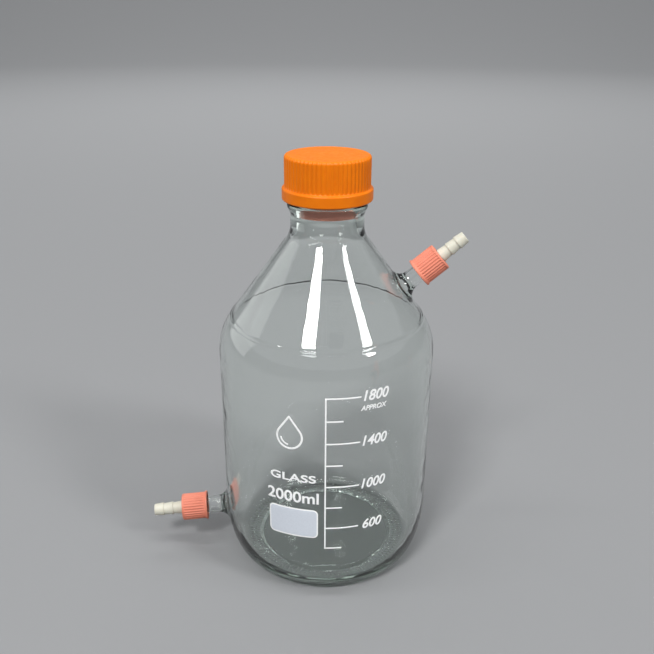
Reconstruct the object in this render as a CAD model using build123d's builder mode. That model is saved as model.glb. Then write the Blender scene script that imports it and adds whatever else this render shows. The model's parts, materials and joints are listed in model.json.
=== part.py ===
from build123d import *
import os
from math import acos, cos, pi, radians, sin

os.makedirs("parts", exist_ok=True)

# A 2 litre laboratory reagent bottle with a screw cap and two threaded side ports.
# Millimetres. Z is up, Z = 0 is the surface the bottle stands on, and the printed
# scale faces -Y. Each port's pieces are measured along the port's own axis, which
# starts on the bottle's centre line.

# Glass body: outside and inside of the blown wall
body_radius = 68.0
wall = 2.4
foot_inner_radius = 44.0
push_up = 2.5
base_thickness = 5.0
heel_width = 12.2
heel_height = 38.9
shoulder_height = 146.0
shoulder_radius = 35.2
cone_tilt = 35.7
neck_radius = 22.3
neck_blend = 14.3
neck_bore_radius = 16.5
neck_bore_blend = 20.0

# Screw neck, size GL 45
neck_foot = 215.0
collar_radius = 24.1
collar_start = 233.0
collar_height = 239.3
rim_height = 262.0
neck_thread_root = 21.0
neck_thread_crest = 22.4
neck_thread_pitch = 4.0
neck_thread_start = 248.0
neck_thread_turns = 2.25

# Pouring ring
ring_lip_radius = 20.4
ring_inner_radius = 15.2
ring_skirt_depth = 29.0
ring_lip_height = 1.3

# Main screw cap
cap_bottom = 241.1
cap_height = 26.4
cap_grip_radius = 25.6
cap_band_radius = 27.1
cap_band_height = 7.4
cap_thread_root = 22.9
cap_thread_crest = 21.6
cap_ribs = 60
cap_rib_groove = 0.6
liner_radius = 22.4
liner_thickness = 2.0
liner_face_thickness = 0.2

# Threaded ports, size GL 14
port_bore_radius = 4.5
port_stem_radius = 5.7
port_flare_radius = 7.0
port_flare_sweep = 60.0
port_flare_height = 6.2
port_hole_radius = 6.6
port_thread_crest = 6.9
port_thread_pitch = 2.5
port_thread_start = 2.0
port_thread_turns = 3.0
port_cap_length = 17.1
port_cap_end = 2.2
port_cap_grip_radius = 8.85
port_cap_flange_radius = 9.5
port_cap_flange_height = 1.4
port_cap_thread_root = 7.3
port_cap_thread_crest = 6.3
port_cap_ribs = 30
port_cap_rib_groove = 0.35
port_cap_hole_radius = 4.6

# Hose barb and its seal
barb_length = 19.0
barb_bore_radius = 2.6
barb_tip_radius = 3.75
barb_crest_radius = 4.3
barb_stem_radius = 4.05
barb_section = 6.3
barb_land = 0.8
barb_flange_radius = 6.9
barb_flange_thickness = 2.0
seal_radius = 6.9
seal_hole_radius = 4.0
seal_thickness = 1.8
seal_face_thickness = 0.2

# Enamel marks, fired on the cylindrical wall
enamel = 0.12
line_width = 0.9
litre_step = 0.2
first_mark = 0.4
last_mark = 1.8
scale_zero_height = 10.1
long_mark_angle = 17.2
short_mark_angle = 8.6
number_angle = 25.0
number_size = 6.8
stroke_width = 1.0
panel_angle = -16.7
panel_height = 57.2
panel_width = 29.5
panel_tall = 19.0
panel_corner = 3.2
capacity_height = 76.0
capacity_size = 8.6
droplet_angle = -18.1
droplet_height = 119.5
droplet_radius = 8.0
droplet_tall = 22.0

# Ports: name, height where the axis leaves the centre line, azimuth, elevation,
# distance along the axis to the wall and to the port cap's open end
ports = {
    "upper": (145.7, 3.7, 40.0, 62.2, 74.5),
    "lower": (32.1, 186.2, -2.8, 67.7, 81.5),
}

centre_line = Axis((0, 0, 0), (0, 0, 1))
tilt = radians(cone_tilt)


def blend_centre_height(arc_radius, bore_radius, blend_radius):
    """Height of the centre of the arc that turns the shoulder cone into the neck."""
    cone_r = body_radius - shoulder_radius + arc_radius * cos(tilt)
    cone_z = shoulder_height + arc_radius * sin(tilt)
    blend_r = bore_radius + blend_radius * (1 - cos(tilt))
    return cone_z + (cone_r - blend_r) / sin(tilt) * cos(tilt) + blend_radius * sin(tilt)


def shoulder_and_neck(arc_radius, radius_at_neck, blend_radius, top):
    """Shoulder arc, straight cone, blend arc and neck wall, as lines for an outline."""
    centre_r = body_radius - shoulder_radius
    blend_z = blend_centre_height(arc_radius, radius_at_neck, blend_radius)
    shoulder = CenterArc((centre_r, shoulder_height), arc_radius, 0, cone_tilt)
    blend = CenterArc((radius_at_neck + blend_radius, blend_z), blend_radius, 180, cone_tilt)
    Line(shoulder @ 1, blend @ 1)
    Line(blend @ 0, (radius_at_neck, top))


def outside_solid():
    """The bottle as a solid block of glass, up to its rim, without the thread."""
    foot_radius = body_radius - heel_width
    with BuildPart() as solid:
        with BuildSketch(Plane.XZ):
            with BuildLine():
                RadiusArc((0, push_up), (foot_inner_radius, 0), 400)
                Line((foot_inner_radius, 0), (foot_radius, 0))
                EllipticalCenterArc((foot_radius, heel_height), heel_width, heel_height, 270, arc_size=90)
                Line((body_radius, heel_height), (body_radius, shoulder_height))
                shoulder_and_neck(shoulder_radius, neck_radius, neck_blend, collar_start)
                Polyline(
                    (neck_radius, collar_start),
                    (collar_radius, collar_height - 1.5),
                    (collar_radius, collar_height),
                    (neck_thread_root, collar_height),
                    (neck_thread_root, rim_height),
                    (0, rim_height),
                    (0, push_up),
                )
            make_face()
        revolve(axis=centre_line)
    return solid.part


def inside_solid():
    """The space inside the bottle, with the bore of the neck."""
    inner_radius = body_radius - wall
    heel_start = body_radius - heel_width - wall
    with BuildPart() as solid:
        with BuildSketch(Plane.XZ):
            with BuildLine():
                RadiusArc((0, base_thickness + push_up), (heel_start, base_thickness), 600)
                EllipticalCenterArc(
                    (heel_start, heel_height), heel_width, heel_height - base_thickness, 270, arc_size=90
                )
                Line((inner_radius, heel_height), (inner_radius, shoulder_height))
                shoulder_and_neck(
                    shoulder_radius - wall, neck_bore_radius, neck_bore_blend, rim_height
                )
                Polyline(
                    (neck_bore_radius, rim_height),
                    (0, rim_height),
                    (0, base_thickness + push_up),
                )
            make_face()
        revolve(axis=centre_line)
    return solid.part


def thread_ridge(origin, direction, radius, height, pitch, turns, root_width, crest_width):
    """A helical ridge. A positive height stands outwards, a negative one inwards."""
    sink = 0.4 if height > 0 else -0.4
    start = Plane(origin=origin, z_dir=direction)
    with BuildPart() as ridge:
        with BuildLine():
            path = Helix(pitch, pitch * turns, radius, center=origin, direction=direction)
        with BuildSketch(Plane(origin=path @ 0, x_dir=(path @ 0) - start.origin, z_dir=path % 0)):
            with BuildLine():
                Polyline(
                    (-sink, -root_width / 2),
                    (height, -crest_width / 2),
                    (height, crest_width / 2),
                    (-sink, root_width / 2),
                    close=True,
                )
            make_face()
        sweep(path=path, is_frenet=True)
    return ridge.part


def rib_grooves(plane, radius, groove, count, height):
    """Upright round grooves in a cap's side, which leave the grip ribs standing."""
    cutter = 0.8 * pi * radius / count
    with BuildPart() as grooves:
        with BuildSketch(plane):
            with PolarLocations(radius + cutter - groove, count):
                Circle(cutter)
        extrude(amount=height)
    return grooves.part


def ring(plane, outer_radius, inner_radius, thickness):
    """A flat ring, or a disc where the inner radius is 0, lying on a plane."""
    with BuildPart() as body:
        with BuildSketch(plane):
            Circle(outer_radius)
            if inner_radius > 0:
                Circle(inner_radius, mode=Mode.SUBTRACT)
        extrude(amount=thickness)
    return body.part


def save(part, name):
    """Label a finished piece and write it."""
    part.label = name
    export_step(part, f"parts/{name}.step")


# Main screw cap: orange moulded plastic, ribbed, with a plain band round its foot
cap_top = cap_bottom + cap_height
liner_bottom = rim_height + ring_lip_height
cap_ceiling = liner_bottom + liner_thickness
with BuildPart() as screw_cap:
    with BuildSketch(Plane.XY.offset(cap_bottom)):
        Circle(cap_band_radius)
    extrude(amount=cap_band_height)
    with BuildSketch(Plane.XY.offset(cap_bottom)):
        Circle(cap_grip_radius)
    extrude(amount=cap_height)
    fillet(screw_cap.edges().group_by(Axis.Z)[-1], radius=1.8)
    add(
        rib_grooves(
            Plane.XY.offset(cap_bottom + cap_band_height),
            cap_grip_radius,
            cap_rib_groove,
            cap_ribs,
            cap_height - cap_band_height - 2.6,
        ),
        mode=Mode.SUBTRACT,
    )
    with BuildSketch(Plane.XY.offset(cap_bottom)):
        Circle(cap_thread_root)
    extrude(amount=cap_ceiling - cap_bottom, mode=Mode.SUBTRACT)
    add(
        thread_ridge(
            Vector(0, 0, neck_thread_start - neck_thread_pitch / 2),
            Vector(0, 0, 1),
            cap_thread_root,
            cap_thread_crest - cap_thread_root,
            neck_thread_pitch,
            neck_thread_turns + 0.25,
            1.8,
            0.8,
        )
    )
save(screw_cap.part, "screw_cap")

# Liner: a silicone disc with a thin PTFE face, pressed into the top of the cap
with BuildPart() as liner:
    add(
        ring(
            Plane.XY.offset(liner_bottom + liner_face_thickness),
            liner_radius,
            0,
            liner_thickness - liner_face_thickness,
        )
    )
save(liner.part, "cap_liner")
with BuildPart() as liner_face:
    add(ring(Plane.XY.offset(liner_bottom), liner_radius, 0, liner_face_thickness))
save(liner_face.part, "cap_liner_face")

# Pouring ring: a plastic lip that lies on the neck's rim, with a skirt inside the bore
with BuildPart() as pouring_ring:
    add(ring(Plane.XY.offset(rim_height), ring_lip_radius, ring_inner_radius, ring_lip_height))
    add(
        ring(
            Plane.XY.offset(rim_height - ring_skirt_depth),
            neck_bore_radius,
            ring_inner_radius,
            ring_skirt_depth,
        )
    )
save(pouring_ring.part, "pouring_ring")


def port_frame(name):
    """Start point, outward direction and section plane of a port."""
    axis_height, azimuth, elevation, _, _ = ports[name]
    start = Vector(0, 0, axis_height)
    across = Vector(-sin(radians(azimuth)), cos(radians(azimuth)), 0)
    level = cos(radians(elevation))
    outward = Vector(
        level * cos(radians(azimuth)), level * sin(radians(azimuth)), sin(radians(elevation))
    )
    section = Plane(origin=start, x_dir=across, z_dir=across.cross(outward))
    return start, outward, section


def port_plane(name, distance):
    """The plane square to a port's axis at a distance along it."""
    start, outward, section = port_frame(name)
    return Plane(origin=start + outward * distance, x_dir=section.x_dir, z_dir=outward)


def spun(name, outline):
    """A solid turned about a port's axis from (radius, distance) points."""
    start, outward, section = port_frame(name)
    with BuildPart() as body:
        with BuildSketch(section):
            with BuildLine():
                Polyline(*outline, close=True)
            make_face()
        revolve(axis=Axis(start, outward))
    return body.part


# Heights of a port's stacked pieces above its cap's open end
port_ceiling = port_cap_length - port_cap_end
seal_top = port_ceiling - barb_flange_thickness
seal_face_top = seal_top - seal_thickness
port_rim = seal_face_top - seal_face_thickness


def port_tube(name, glass, cavity):
    """The threaded glass tube, with the flare that is fused to the bottle's wall."""
    start, outward, section = port_frame(name)
    wall_distance, cap_distance = ports[name][3:]
    rim = cap_distance + port_rim
    flare_top = wall_distance + port_flare_height
    thread_foot = start + outward * (cap_distance + port_thread_start)
    with BuildPart() as tube:
        with BuildSketch(section):
            with BuildLine():
                stem = Line((port_stem_radius, rim), (port_stem_radius, flare_top))
                flare = CenterArc(
                    (port_stem_radius + port_flare_radius, flare_top),
                    port_flare_radius,
                    180,
                    port_flare_sweep,
                )
                Polyline(
                    flare @ 1,
                    ((flare @ 1).X, wall_distance - 1.2),
                    (port_hole_radius, wall_distance - 1.2),
                    (port_hole_radius, wall_distance - 3 * wall),
                    (port_bore_radius, wall_distance - 3 * wall),
                    (port_bore_radius, rim),
                    stem @ 0,
                )
            make_face()
        revolve(axis=Axis(start, outward))
        add(
            thread_ridge(
                thread_foot,
                outward,
                port_stem_radius,
                port_thread_crest - port_stem_radius,
                port_thread_pitch,
                port_thread_turns,
                1.5,
                0.7,
            )
        )
        add(glass, mode=Mode.SUBTRACT)
        add(cavity, mode=Mode.SUBTRACT)
    return tube.part


def port_cap(name):
    """The small ribbed screw cap with a hole in its end for the hose barb."""
    start, outward, _ = port_frame(name)
    cap_distance = ports[name][4]
    with BuildPart() as cap:
        add(ring(port_plane(name, cap_distance), port_cap_grip_radius, 0, port_cap_length))
        fillet(cap.edges().sort_by(Axis(start, outward))[-1], radius=0.8)
        add(
            rib_grooves(
                port_plane(name, cap_distance + port_cap_flange_height),
                port_cap_grip_radius,
                port_cap_rib_groove,
                port_cap_ribs,
                port_cap_length - port_cap_flange_height - 1.2,
            ),
            mode=Mode.SUBTRACT,
        )
        add(
            ring(
                port_plane(name, cap_distance),
                port_cap_flange_radius,
                0,
                port_cap_flange_height,
            )
        )
        add(
            ring(port_plane(name, cap_distance), port_cap_hole_radius, 0, port_cap_length),
            mode=Mode.SUBTRACT,
        )
        add(
            ring(port_plane(name, cap_distance), port_cap_thread_root, 0, port_ceiling),
            mode=Mode.SUBTRACT,
        )
        add(
            thread_ridge(
                start + outward * (cap_distance + port_thread_start + port_thread_pitch / 2),
                outward,
                port_cap_thread_root,
                port_cap_thread_crest - port_cap_thread_root,
                port_thread_pitch,
                port_thread_turns - 0.5,
                1.1,
                0.5,
            )
        )
    return cap.part


def hose_barb(name):
    """The flanged hose connector: three barbs, a stem and the flange inside the cap."""
    tip = ports[name][4] + port_cap_length + barb_length
    flange_top = ports[name][4] + port_ceiling
    outline = [(barb_bore_radius, flange_top - barb_flange_thickness), (barb_bore_radius, tip)]
    for number in range(3):
        front = tip - number * barb_section
        back = front - barb_section
        land = barb_land if number < 2 else barb_land + 0.1
        outline += [
            (barb_tip_radius, front),
            (barb_crest_radius, back + land),
            (barb_crest_radius, back),
        ]
    stem_top = tip - 3 * barb_section
    outline += [
        (barb_stem_radius, stem_top),
        (barb_stem_radius, flange_top),
        (barb_flange_radius, flange_top),
        (barb_flange_radius, flange_top - barb_flange_thickness),
    ]
    return spun(name, outline)


# Bottle: one blown piece of clear glass, with a round hole where each port is fused on
cavity = inside_solid()
with BuildPart() as glass_bottle:
    add(outside_solid())
    add(cavity, mode=Mode.SUBTRACT)
    add(
        thread_ridge(
            Vector(0, 0, neck_thread_start),
            Vector(0, 0, 1),
            neck_thread_root,
            neck_thread_crest - neck_thread_root,
            neck_thread_pitch,
            neck_thread_turns,
            2.4,
            1.0,
        )
    )
    for port in ports:
        reach = ports[port][3]
        add(ring(port_plane(port, reach - 12), port_hole_radius, 0, 24), mode=Mode.SUBTRACT)

# The blown piece is written as four stretches that meet face to face, one above another
glass_stretches = {
    "glass_base": (0, heel_height),
    "glass_wall": (heel_height, shoulder_height),
    "glass_shoulder": (shoulder_height, neck_foot),
    "glass_neck": (neck_foot, rim_height),
}
for name, (low, high) in glass_stretches.items():
    with BuildPart() as stretch:
        add(glass_bottle.part)
        add(ring(Plane.XY.offset(low), body_radius, 0, high - low), mode=Mode.INTERSECT)
    save(stretch.part, name)

# Ports: the same pieces twice, on two axes
for port in ports:
    cap_distance = ports[port][4]
    save(port_tube(port, glass_bottle.part, cavity), f"{port}_port_tube")
    save(port_cap(port), f"{port}_port_cap")
    save(hose_barb(port), f"{port}_hose_barb")
    save(
        ring(
            port_plane(port, cap_distance + seal_face_top),
            seal_radius,
            seal_hole_radius,
            seal_thickness,
        ),
        f"{port}_seal_ring",
    )
    save(
        ring(
            port_plane(port, cap_distance + port_rim),
            seal_radius,
            seal_hole_radius,
            seal_face_thickness,
        ),
        f"{port}_seal_face",
    )


def mark_height(litres):
    """Height of the liquid's surface at a volume, from the area inside the wall."""
    return scale_zero_height + litres * 1e6 / (pi * (body_radius - wall) ** 2)


def outward_plane(azimuth, height, clearance):
    """A plane that faces away from the wall, just outside it, at an angle from -Y."""
    facing = Vector(sin(radians(azimuth)), -cos(radians(azimuth)), 0)
    across = Vector(cos(radians(azimuth)), sin(radians(azimuth)), 0)
    centre = facing * (body_radius + clearance) + Vector(0, 0, height)
    return Plane(origin=centre, x_dir=across, z_dir=facing)


def enamel_band(low, high):
    """The skin of enamel's thickness round the wall between two heights."""
    return ring(Plane.XY.offset(low), body_radius + enamel, body_radius, high - low)


def sign(character, tall):
    """A numeral or letter drawn with strokes of one width, centred on its origin."""
    half = (tall - stroke_width) / 2
    wide = 0.52 * half
    foot_centre = (0, wide - half)
    with BuildSketch() as face:
        with BuildLine():
            if character == "1":
                Line((0, -half), (0, half))
                Line((0, half), (-0.7 * wide, 0.6 * half))
            elif character == "2":
                bowl = CenterArc((0, half - wide), wide, -35, 195)
                Line(bowl @ 0, (-wide, -half))
                Line((-1.3 * wide, -half), (1.2 * wide, -half))
            elif character == "4":
                Line((0.4 * wide, -half), (0.4 * wide, half))
                Line((0.4 * wide, half), (-wide, -0.35 * half))
                Line((-1.2 * wide, -0.35 * half), (1.1 * wide, -0.35 * half))
            elif character == "6":
                Line((-wide, wide - half), (0.4 * wide, half))
            elif character == "m":
                for upright in (-wide, 0, wide):
                    Line((upright, -half), (upright, 0.3 * half))
                Line((-1.3 * wide, 0.3 * half), (1.3 * wide, 0.3 * half))
            elif character == "l":
                Line((0, -half), (0, half))
        if character in "124ml":
            trace(line_width=stroke_width)
        elif character == "6":
            trace(line_width=stroke_width)
            with Locations(foot_centre):
                Circle(wide + stroke_width / 2)
                Circle(wide - stroke_width / 2, mode=Mode.SUBTRACT)
        elif character == "8":
            with Locations(foot_centre, (0, half - wide)):
                Circle(wide + stroke_width / 2)
            with Locations(foot_centre, (0, half - wide)):
                Circle(wide - stroke_width / 2, mode=Mode.SUBTRACT)
        elif character == "0":
            Ellipse(wide + stroke_width / 2, half + stroke_width / 2)
            Ellipse(wide - stroke_width / 2, half - stroke_width / 2, mode=Mode.SUBTRACT)
    return face.sketch


def printed(azimuth, height, words, tall):
    """A row of numerals or letters, cut from the enamel skin."""
    advance = 0.62 * tall
    with BuildPart() as mark:
        with BuildSketch(outward_plane(azimuth, height, 1)):
            for place, character in enumerate(words):
                if character != " ":
                    with Locations(((place - (len(words) - 1) / 2) * advance, 0)):
                        add(sign(character, tall))
        extrude(amount=-8)
        add(enamel_band(height - tall, height + tall), mode=Mode.INTERSECT)
    return mark.part


def bar(azimuth, sweep, height, tall):
    """A level enamel line: a sector of the skin that starts at an angle from -Y."""
    facing = Vector(sin(radians(azimuth)), -cos(radians(azimuth)), 0)
    section = Plane(origin=(0, 0, height), x_dir=facing, z_dir=facing.cross(Vector(0, 0, 1)))
    with BuildPart() as line:
        with BuildSketch(section):
            with Locations((body_radius, 0)):
                Rectangle(enamel, tall, align=(Align.MIN, Align.CENTER))
        revolve(axis=centre_line, revolution_arc=sweep)
    return line.part


# Graduation scale: an upright line with a mark every 200 ml, long at every other one
steps = round((last_mark - first_mark) / litre_step)
line_angle = line_width / body_radius * 180 / pi
scale_foot = mark_height(first_mark)
scale_head = mark_height(last_mark)
with BuildPart() as graduation_scale:
    add(
        bar(
            -line_angle / 2,
            line_angle,
            (scale_foot + scale_head) / 2,
            scale_head - scale_foot + line_width,
        )
    )
    for step in range(steps + 1):
        reach_angle = long_mark_angle if (steps - step) % 2 == 0 and step > 0 else short_mark_angle
        add(bar(0, reach_angle, mark_height(first_mark + step * litre_step), line_width))
save(graduation_scale.part, "graduation_scale")

# Numbers in millilitres beside the long marks
with BuildPart() as graduation_numbers:
    for millilitres in (600, 1000, 1400, 1800):
        add(printed(number_angle, mark_height(millilitres / 1000), str(millilitres), number_size))
save(graduation_numbers.part, "graduation_numbers")

# Capacity in millilitres, and a plain droplet above it
with BuildPart() as capacity_marking:
    add(printed(panel_angle, capacity_height, "2000ml", capacity_size))
save(capacity_marking.part, "capacity_marking")

tip_above = droplet_tall - droplet_radius
tangent = acos(droplet_radius / tip_above)
touch_x = droplet_radius * sin(tangent)
touch_y = droplet_radius * cos(tangent)
with BuildPart() as droplet_mark:
    with BuildSketch(outward_plane(droplet_angle, droplet_height, 1)):
        Circle(droplet_radius)
        with BuildLine():
            Polyline((-touch_x, touch_y), (0, tip_above), (touch_x, touch_y), close=True)
        make_face()
    extrude(amount=-4)
    add(
        enamel_band(droplet_height - droplet_tall, droplet_height + droplet_tall),
        mode=Mode.INTERSECT,
    )
save(droplet_mark.part, "droplet_mark")

# Write-on panel: a rounded patch of white enamel for pencil notes
with BuildPart() as writing_panel:
    with BuildSketch(outward_plane(panel_angle, panel_height, 1)):
        RectangleRounded(panel_width, panel_tall, panel_corner)
    extrude(amount=-6)
    add(
        enamel_band(panel_height - panel_tall, panel_height + panel_tall),
        mode=Mode.INTERSECT,
    )
save(writing_panel.part, "writing_panel")
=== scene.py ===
import json
from math import cos, pi, radians, sin

import bmesh
import bpy
import numpy as np
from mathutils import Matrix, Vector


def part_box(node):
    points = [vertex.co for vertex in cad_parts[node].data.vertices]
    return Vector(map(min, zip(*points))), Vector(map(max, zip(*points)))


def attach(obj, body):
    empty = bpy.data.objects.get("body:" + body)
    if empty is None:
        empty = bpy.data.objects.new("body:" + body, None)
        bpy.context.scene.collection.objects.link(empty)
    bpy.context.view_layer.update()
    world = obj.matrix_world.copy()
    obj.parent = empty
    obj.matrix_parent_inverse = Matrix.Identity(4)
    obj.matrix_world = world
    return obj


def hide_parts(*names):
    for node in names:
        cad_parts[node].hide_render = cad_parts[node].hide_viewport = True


# A 2 litre laboratory reagent bottle with a screw cap and two threaded side ports.
# Lengths are in metres, Z is up and the printed scale faces -Y.
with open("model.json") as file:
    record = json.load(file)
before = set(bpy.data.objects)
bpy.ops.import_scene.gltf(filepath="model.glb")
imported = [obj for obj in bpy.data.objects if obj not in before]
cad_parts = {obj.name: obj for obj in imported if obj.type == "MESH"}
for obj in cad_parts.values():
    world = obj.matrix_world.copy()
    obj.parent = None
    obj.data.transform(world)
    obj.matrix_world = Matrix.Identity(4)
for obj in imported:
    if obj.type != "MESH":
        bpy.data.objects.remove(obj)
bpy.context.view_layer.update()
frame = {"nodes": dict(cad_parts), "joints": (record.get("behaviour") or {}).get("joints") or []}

# ---------------------------------------------------------------------------------------
# Glass: one skin of clear borosilicate. The body and screw neck are blown in a mould,
# which stipples the base and leaves a faint ledge at the shoulder. The two threaded ports
# are drawn out of the wall in the flame, so wall and port are one piece.
# ---------------------------------------------------------------------------------------

body_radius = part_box("glass_wall")[1].y
rim_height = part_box("glass_neck")[1].z
wall = 0.0024
shoulder_height = 0.146
shoulder_radius = 0.0352
cone_tilt = radians(35.7)
heel_width = 0.0122
heel_height = 0.0389
base_thickness = 0.005
push_up = 0.0025
neck_radius = 0.0223
neck_blend = 0.0143
neck_bore = 0.0165
neck_bore_blend = 0.020
collar_foot = 0.233
collar_top = 0.2393
collar_radius = 0.0241
collar_round = 0.0011
neck_thread_root = 0.021
thread_fillet = 0.0009
rim_round = 0.0013
neck_thread = {"start": 0.248, "pitch": 0.004, "turns": 2.25, "half_width": 0.0013, "relief": 0.0014}
ledge_height = 0.1685
ledge_relief, ledge_width = 0.00048, 0.0009
stipple = {"inner": 0.0455, "outer": 0.0553, "rows": 3, "dashes": 116, "slant": 0.45, "relief": 0.0011}
dash_width, dash_edge = 0.38, 0.22
pole_radius = 0.004
columns = 180
fine_split = 3


def arc(centre, radii, first, last, count):
    """Points on an ellipse: centre + radii times (cos, sin) of an angle in degrees."""
    angle = np.radians(np.linspace(first, last, count))
    return np.array(centre) + np.array(radii) * np.column_stack([np.cos(angle), np.sin(angle)])


def line(start, end, count):
    """Evenly spaced points from start to end, with both of them."""
    return np.linspace(start, end, count)


def chain(*stretches):
    """Stretches of an outline end to end, without the points that repeat."""
    points = np.vstack(stretches)
    step = np.hypot(*np.diff(points, axis=0).T)
    return points[np.append(True, step > 1e-7)]


def smooth(value):
    """A smooth step from 0 to 1: three times the square less twice the cube."""
    value = np.clip(value, 0, 1)
    return value * value * (3 - 2 * value)


def helix_ridge(angle, height, start, pitch, turns, half_width, relief):
    """How far a screw thread stands out at an angle and a height.

    The middle of the ridge climbs one pitch a turn from start. The relief falls off across it
    by a smooth step, and fades in and out over a sixth of a turn at its ends.
    """
    turn = np.round((height - start) / pitch - angle / (2 * pi)) + angle / (2 * pi)
    away = np.abs(height - start - turn * pitch)
    fade = smooth(turn * 6) * smooth((turns - turn) * 6)
    return relief * fade * smooth((half_width - away) / (0.6 * half_width))


def about(axis, radius, angle, distance):
    """Points round an axis: start + radius (cos across + sin rise) + distance outward."""
    start, across, rise, outward = axis
    radius, angle, distance = (part[..., None] for part in np.broadcast_arrays(radius, angle, distance))
    return start + radius * (np.cos(angle) * across + np.sin(angle) * rise) + distance * outward


def numbered(points):
    """A grid of points' own numbers, row after row."""
    return np.arange(points[..., 0].size).reshape(points.shape[:2])


def ring_faces(index):
    """Quads between neighbouring rings of a grid of point numbers, closed round each ring."""
    low, high = index[:-1], index[1:]
    return np.stack([low, np.roll(low, -1, 1), np.roll(high, -1, 1), high], -1).reshape(-1, 4)


def fan_faces(pole, ring, at_end):
    """Triangles from a ring to the pole that closes the surface, at its start or its end."""
    following = np.roll(ring, -1)
    pole = np.full_like(ring, pole)
    return np.stack([pole, ring, following] if at_end else [pole, following, ring], -1)


def split_faces(first, second):
    """Faces between two rings, one of which has three points to each point of the other."""
    coarse, fine = (first, second) if len(first) < len(second) else (second, first)
    trio = fine.reshape(-1, fine_split)
    last = np.roll(trio[:, 0], -1)
    following = np.roll(coarse, -1)
    faces = [
        [trio[:, 0], trio[:, 1], coarse],
        [trio[:, 1], trio[:, 2], following, coarse],
        [trio[:, 2], last, following],
    ]
    turn = 1 if fine is first else -1
    return [np.stack(face[::turn], -1) for face in faces]


def mesh_piece(name, points, faces, material):
    """A smooth-shaded object from an array of points and a list of arrays of faces."""
    mesh = bpy.data.meshes.new(name)
    mesh.from_pydata(points.reshape(-1, 3), [], [face for block in faces for face in block.tolist()])
    mesh.polygons.foreach_set("use_smooth", np.ones(len(mesh.polygons), bool))
    mesh.materials.append(material)
    piece = bpy.data.objects.new(name, mesh)
    bpy.context.scene.collection.objects.link(piece)
    return piece


def blend_centre(radius, bore, blend):
    """Height of the centre of the arc that turns the shoulder's cone into the neck."""
    cone_radius = body_radius - shoulder_radius + radius * cos(cone_tilt)
    cone_height = shoulder_height + radius * sin(cone_tilt)
    blend_radius = bore + blend * (1 - cos(cone_tilt))
    cone_rise = (cone_radius - blend_radius) / sin(cone_tilt) * cos(cone_tilt)
    return cone_height + cone_rise + blend * sin(cone_tilt)


def shoulder_line(radius, bore, blend, top):
    """Shoulder arc, cone, blend arc and neck, from the top of the body to the neck's top.

    The first tenth of the cone has closer rows, because the ledge lies on it.
    """
    tilt = np.degrees(cone_tilt)
    shoulder = arc((body_radius - shoulder_radius, shoulder_height), (radius, radius), 0, tilt, 18)
    centre = (bore + blend, blend_centre(radius, bore, blend))
    blend_arc = arc(centre, (blend, blend), 180 + tilt, 180, 12)
    cone_foot = shoulder[-1] + (blend_arc[0] - shoulder[-1]) * 0.1
    cone = chain(line(shoulder[-1], cone_foot, 20), line(cone_foot, blend_arc[0], 34))
    return chain(shoulder, cone, blend_arc, line(blend_arc[-1], (bore, top), 4))


# The outline as (radius, height), from the middle of the base out, up and over the rim,
# and the outline of the inside from the floor up
foot_radius = body_radius - heel_width
floor_edge = foot_radius - wall
base = stipple["relief"]
thread_foot = collar_top + thread_fillet
dome_radius = np.linspace(pole_radius, stipple["inner"], 14)
dome = np.column_stack([dome_radius, base + push_up * (1 - (dome_radius / stipple["inner"]) ** 2)])
stipple_line = line((stipple["inner"], base), (stipple["outer"], base), 31)
outside = chain(
    [(foot_radius, base)],
    arc((foot_radius, heel_height), (heel_width, heel_height - base), -90, 0, 28),
    line((body_radius, heel_height), (body_radius, shoulder_height), 42),
    shoulder_line(shoulder_radius, neck_radius, neck_blend, collar_foot),
    line((neck_radius, collar_foot), (collar_radius, collar_top - 2 * collar_round), 6),
    arc((collar_radius - collar_round, collar_top - collar_round), (collar_round, collar_round), 0, 90, 5),
    arc((neck_thread_root + thread_fillet, thread_foot), (thread_fillet, thread_fillet), 270, 180, 5),
    line((neck_thread_root, thread_foot), (neck_thread_root, rim_height - rim_round), 48),
    arc((neck_thread_root - rim_round, rim_height - rim_round), (rim_round, rim_round), 0, 90, 6),
    arc((neck_bore + rim_round, rim_height - rim_round), (rim_round, rim_round), 90, 180, 6),
)
inside = chain(
    arc((floor_edge, heel_height), (heel_width, heel_height - base_thickness), -90, 0, 24),
    line((body_radius - wall, heel_height), (body_radius - wall, shoulder_height), 34),
    shoulder_line(shoulder_radius - wall, neck_bore, neck_bore_blend, rim_height - rim_round),
)[:-1]
floor_radius = np.linspace(floor_edge, pole_radius, 14)[1:]
floor_height = base_thickness + push_up * (1 - (floor_radius / floor_edge) ** 2)
floor_line = np.column_stack([floor_radius, floor_height])

# Neck thread and shoulder ledge, as swellings of the outside
upright = (np.zeros(3), np.array([1, 0, 0]), np.array([0, 1, 0]), np.array([0, 0, 1]))
angles = np.radians(-90) + 2 * pi * np.arange(columns) / columns
on_neck = (outside[:, 1] > collar_top + 0.001) & (outside[:, 0] > neck_thread_root - 0.0003)
ridge = helix_ridge(angles % (2 * pi), outside[:, 1:], **neck_thread) * on_neck[:, None]
ledge = ledge_relief * np.exp(-(((outside[:, 1:] - ledge_height) / ledge_width) ** 2))
outside_radius = outside[:, :1] + ridge + ledge * (outside[:, :1] > neck_radius * 2)

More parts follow.
